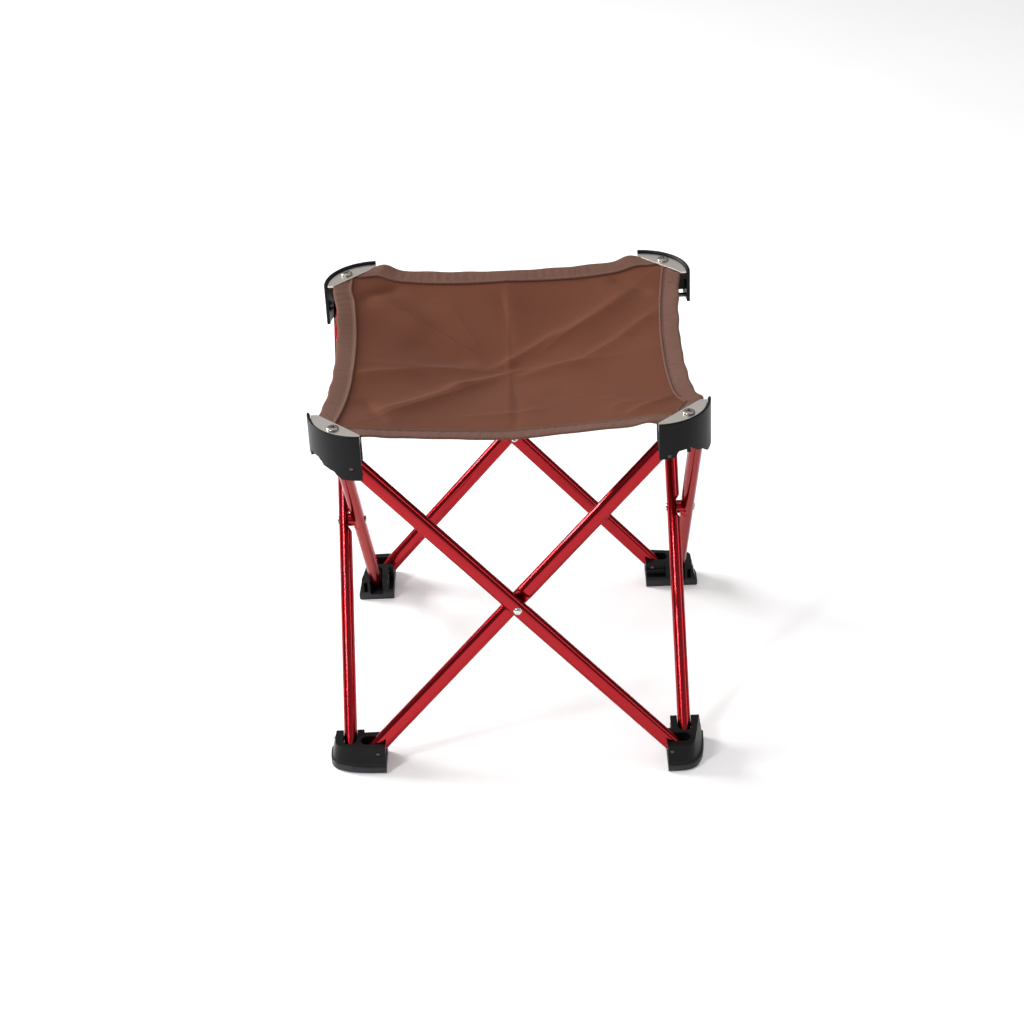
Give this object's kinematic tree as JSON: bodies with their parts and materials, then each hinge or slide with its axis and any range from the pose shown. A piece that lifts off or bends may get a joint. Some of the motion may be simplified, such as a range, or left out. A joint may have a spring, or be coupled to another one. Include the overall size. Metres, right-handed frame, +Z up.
{
  "type": "folding camp stool",
  "caption": "Small folding camp stool with crossed oval tube legs, moulded black feet and corner brackets, and a square canvas seat clamped under metal corner plates.",
  "frame": {"origin": "on the floor, at the centre of the open stool's four feet", "axes": "+Z up; the front pair of crossed legs is on the -Y side and +X runs to the right seen from the front"},
  "size_m": [0.2876, 0.2876, 0.2874],
  "materials": {
    "red_tube": "bright red anodised, polished",
    "black_plastic": "fine satin moulded nylon",
    "plate_steel": "satin plated sheet",
    "bright_steel": "bright zinc plated",
    "canvas": "plain woven polyester canvas with a bound edge"
  },
  "bodies": {
    "foot_fl": {"foot_fl": "black_plastic", "foot_pin_inner_fl": "bright_steel", "foot_pin_outer_fl": "bright_steel"},
    "bracket_fl": {"bracket_fl": "black_plastic", "clamp_plate_fl": "plate_steel", "plate_screw_fl": "bright_steel", "bracket_pin_outer_fl": "bright_steel", "bracket_pin_inner_fl": "bright_steel"},
    "seat_corner_fl": {"seat_corner_fl": "canvas"},
    "seat_after_fl": {"seat_after_fl": "canvas"},
    "seat_before_fl": {"seat_before_fl": "canvas"},
    "foot_fr": {"foot_fr": "black_plastic", "foot_pin_inner_fr": "bright_steel", "foot_pin_outer_fr": "bright_steel"},
    "bracket_fr": {"bracket_fr": "black_plastic", "clamp_plate_fr": "plate_steel", "plate_screw_fr": "bright_steel", "bracket_pin_outer_fr": "bright_steel", "bracket_pin_inner_fr": "bright_steel"},
    "seat_corner_fr": {"seat_corner_fr": "canvas"},
    "seat_after_fr": {"seat_after_fr": "canvas"},
    "seat_before_fr": {"seat_before_fr": "canvas"},
    "foot_br": {"foot_br": "black_plastic", "foot_pin_inner_br": "bright_steel", "foot_pin_outer_br": "bright_steel"},
    "bracket_br": {"bracket_br": "black_plastic", "clamp_plate_br": "plate_steel", "plate_screw_br": "bright_steel", "bracket_pin_outer_br": "bright_steel", "bracket_pin_inner_br": "bright_steel"},
    "seat_corner_br": {"seat_corner_br": "canvas"},
    "seat_after_br": {"seat_after_br": "canvas"},
    "seat_before_br": {"seat_before_br": "canvas"},
    "foot_bl": {"foot_bl": "black_plastic", "foot_pin_inner_bl": "bright_steel", "foot_pin_outer_bl": "bright_steel"},
    "bracket_bl": {"bracket_bl": "black_plastic", "clamp_plate_bl": "plate_steel", "plate_screw_bl": "bright_steel", "bracket_pin_outer_bl": "bright_steel", "bracket_pin_inner_bl": "bright_steel"},
    "seat_corner_bl": {"seat_corner_bl": "canvas"},
    "seat_after_bl": {"seat_after_bl": "canvas"},
    "seat_before_bl": {"seat_before_bl": "canvas"},
    "leg_outer_front": {"leg_outer_front": "red_tube", "rivet_front": "bright_steel", "spacer_front": "red_tube"},
    "leg_inner_front": {"leg_inner_front": "red_tube"},
    "leg_outer_right": {"leg_outer_right": "red_tube", "rivet_right": "bright_steel", "spacer_right": "red_tube"},
    "leg_inner_right": {"leg_inner_right": "red_tube"},
    "leg_outer_back": {"leg_outer_back": "red_tube", "rivet_back": "bright_steel", "spacer_back": "red_tube"},
    "leg_inner_back": {"leg_inner_back": "red_tube"},
    "leg_outer_left": {"leg_outer_left": "red_tube", "rivet_left": "bright_steel", "spacer_left": "red_tube"},
    "leg_inner_left": {"leg_inner_left": "red_tube"}
  },
  "joints": [
    {"name": "fold", "type": "hinge", "parent": "foot_fl", "child": "leg_inner_front", "pos_m": [-0.1075, -0.1183, 0.0155], "axis": [0, -1, 0], "range_deg": [0, 38.35]},
    {"name": "bracket_fr_hinge", "type": "hinge", "parent": "leg_inner_front", "child": "bracket_fr", "pos_m": [0.1075, -0.1183, 0.2624], "axis": [0, 1, 0], "range_deg": [0, 38.37]},
    {"name": "front_crossing", "type": "hinge", "parent": "leg_inner_front", "child": "leg_outer_front", "pos_m": [0, -0.1234, 0.13895], "axis": [0, 1, 0], "range_deg": [0, 76.73]},
    {"name": "foot_fr_hinge", "type": "hinge", "parent": "leg_outer_front", "child": "foot_fr", "pos_m": [0.1075, -0.1285, 0.0155], "axis": [0, -1, 0], "range_deg": [0, 38.37]},
    {"name": "bracket_fl_hinge", "type": "hinge", "parent": "leg_outer_front", "child": "bracket_fl", "pos_m": [-0.1075, -0.1285, 0.2624], "axis": [0, -1, 0], "range_deg": [0, 38.37]},
    {"name": "left_leg_hinge", "type": "hinge", "parent": "foot_fl", "child": "leg_outer_left", "pos_m": [-0.1285, -0.1075, 0.0155], "axis": [1, 0, 0], "range_deg": [0, 38.37]},
    {"name": "left_crossing", "type": "hinge", "parent": "leg_outer_left", "child": "leg_inner_left", "pos_m": [-0.1234, 0, 0.13895], "axis": [-1, 0, 0], "range_deg": [0, 76.73]},
    {"name": "bracket_bl_hinge", "type": "hinge", "parent": "leg_outer_left", "child": "bracket_bl", "pos_m": [-0.1285, 0.1075, 0.2624], "axis": [-1, 0, 0], "range_deg": [0, 38.37]},
    {"name": "foot_bl_hinge", "type": "hinge", "parent": "leg_inner_left", "child": "foot_bl", "pos_m": [-0.1183, 0.1075, 0.0155], "axis": [1, 0, 0], "range_deg": [0, 38.37]},
    {"name": "right_leg_hinge", "type": "hinge", "parent": "foot_fr", "child": "leg_inner_right", "pos_m": [0.1183, -0.1075, 0.0155], "axis": [1, 0, 0], "range_deg": [0, 38.37]},
    {"name": "right_crossing", "type": "hinge", "parent": "leg_inner_right", "child": "leg_outer_right", "pos_m": [0.1234, 0, 0.13895], "axis": [-1, 0, 0], "range_deg": [0, 76.73]},
    {"name": "bracket_br_hinge", "type": "hinge", "parent": "leg_inner_right", "child": "bracket_br", "pos_m": [0.1183, 0.1075, 0.2624], "axis": [-1, 0, 0], "range_deg": [0, 38.37]},
    {"name": "foot_br_hinge", "type": "hinge", "parent": "leg_outer_right", "child": "foot_br", "pos_m": [0.1285, 0.1075, 0.0155], "axis": [1, 0, 0], "range_deg": [0, 38.37]},
    {"name": "back_leg_hinge", "type": "hinge", "parent": "foot_bl", "child": "leg_outer_back", "pos_m": [-0.1075, 0.1285, 0.0155], "axis": [0, -1, 0], "range_deg": [0, 38.37]},
    {"name": "back_crossing", "type": "hinge", "parent": "leg_outer_back", "child": "leg_inner_back", "pos_m": [0, 0.1234, 0.13895], "axis": [0, 1, 0], "range_deg": [0, 76.73]},
    {"name": "seat_lift_fl", "type": "hinge", "parent": "bracket_fl", "child": "seat_corner_fl", "pos_m": [-0.11554, -0.11554, 0.2832], "axis": [0.7071, -0.7071, 0], "range_deg": [0, 91.05], "deforming": ["seat_corner_fl"]},
    {"name": "seat_crease_after_fl", "type": "hinge", "parent": "seat_corner_fl", "child": "seat_after_fl", "pos_m": [-0.1006, -0.13048, 0.2832], "axis": [-0.6036, -0.7828, 0.1512], "range_deg": [0, 45.62], "deforming": ["seat_after_fl"]},
    {"name": "seat_crease_before_fl", "type": "hinge", "parent": "seat_corner_fl", "child": "seat_before_fl", "pos_m": [-0.13048, -0.1006, 0.2832], "axis": [0.7828, 0.6036, -0.1512], "range_deg": [0, 42.61], "deforming": ["seat_before_fl"]},
    {"name": "seat_lift_fr", "type": "hinge", "parent": "bracket_fr", "child": "seat_corner_fr", "pos_m": [0.11554, -0.11554, 0.2832], "axis": [0.7071, 0.7071, 0], "range_deg": [0, 91.05], "deforming": ["seat_corner_fr"]},
    {"name": "seat_crease_after_fr", "type": "hinge", "parent": "seat_corner_fr", "child": "seat_after_fr", "pos_m": [0.13048, -0.1006, 0.2832], "axis": [0.7828, -0.6036, 0.1512], "range_deg": [0, 42.61], "deforming": ["seat_after_fr"]},
    {"name": "seat_crease_before_fr", "type": "hinge", "parent": "seat_corner_fr", "child": "seat_before_fr", "pos_m": [0.1006, -0.13048, 0.2832], "axis": [-0.6036, 0.7828, -0.1512], "range_deg": [0, 45.62], "deforming": ["seat_before_fr"]},
    {"name": "seat_lift_br", "type": "hinge", "parent": "bracket_br", "child": "seat_corner_br", "pos_m": [0.11554, 0.11554, 0.2832], "axis": [-0.7071, 0.7071, 0], "range_deg": [0, 91.05], "deforming": ["seat_corner_br"]},
    {"name": "seat_crease_after_br", "type": "hinge", "parent": "seat_corner_br", "child": "seat_after_br", "pos_m": [0.1006, 0.13048, 0.2832], "axis": [0.6036, 0.7828, 0.1512], "range_deg": [0, 39.62], "deforming": ["seat_after_br"]},
    {"name": "seat_crease_before_br", "type": "hinge", "parent": "seat_corner_br", "child": "seat_before_br", "pos_m": [0.13048, 0.1006, 0.2832], "axis": [-0.7828, -0.6036, -0.1512], "range_deg": [0, 42.61], "deforming": ["seat_before_br"]},
    {"name": "seat_lift_bl", "type": "hinge", "parent": "bracket_bl", "child": "seat_corner_bl", "pos_m": [-0.11554, 0.11554, 0.2832], "axis": [-0.7071, -0.7071, 0], "range_deg": [0, 91.05], "deforming": ["seat_corner_bl"]},
    {"name": "seat_crease_after_bl", "type": "hinge", "parent": "seat_corner_bl", "child": "seat_after_bl", "pos_m": [-0.13048, 0.1006, 0.2832], "axis": [-0.7828, 0.6036, 0.1512], "range_deg": [0, 42.61], "deforming": ["seat_after_bl"]},
    {"name": "seat_crease_before_bl", "type": "hinge", "parent": "seat_corner_bl", "child": "seat_before_bl", "pos_m": [-0.1006, 0.13048, 0.2832], "axis": [0.6036, -0.7828, -0.1512], "range_deg": [0, 39.62], "deforming": ["seat_before_bl"]}
  ],
  "couplings": [
    {"joint": "bracket_fr_hinge", "follows": "fold", "ratio": 1},
    {"joint": "front_crossing", "follows": "fold", "ratio": 2},
    {"joint": "foot_fr_hinge", "follows": "fold", "ratio": 1},
    {"joint": "bracket_fl_hinge", "follows": "fold", "ratio": 1},
    {"joint": "left_leg_hinge", "follows": "fold", "ratio": 1},
    {"joint": "left_crossing", "follows": "fold", "ratio": 2},
    {"joint": "bracket_bl_hinge", "follows": "fold", "ratio": 1},
    {"joint": "foot_bl_hinge", "follows": "fold", "ratio": 1},
    {"joint": "right_leg_hinge", "follows": "fold", "ratio": 1},
    {"joint": "right_crossing", "follows": "fold", "ratio": 2},
    {"joint": "bracket_br_hinge", "follows": "fold", "ratio": 1},
    {"joint": "foot_br_hinge", "follows": "fold", "ratio": 1},
    {"joint": "back_leg_hinge", "follows": "fold", "ratio": 1},
    {"joint": "back_crossing", "follows": "fold", "ratio": 2},
    {"joint": "seat_lift_fl", "follows": "fold", "ratio": 2.3735},
    {"joint": "seat_crease_after_fl", "follows": "fold", "ratio": 1.1888},
    {"joint": "seat_crease_before_fl", "follows": "fold", "ratio": 1.1105},
    {"joint": "seat_lift_fr", "follows": "fold", "ratio": 2.3735},
    {"joint": "seat_crease_after_fr", "follows": "fold", "ratio": 1.1105},
    {"joint": "seat_crease_before_fr", "follows": "fold", "ratio": 1.1888},
    {"joint": "seat_lift_br", "follows": "fold", "ratio": 2.3735},
    {"joint": "seat_crease_after_br", "follows": "fold", "ratio": 1.0324},
    {"joint": "seat_crease_before_br", "follows": "fold", "ratio": 1.1105},
    {"joint": "seat_lift_bl", "follows": "fold", "ratio": 2.3735},
    {"joint": "seat_crease_after_bl", "follows": "fold", "ratio": 1.1105},
    {"joint": "seat_crease_before_bl", "follows": "fold", "ratio": 1.0324}
  ]
}
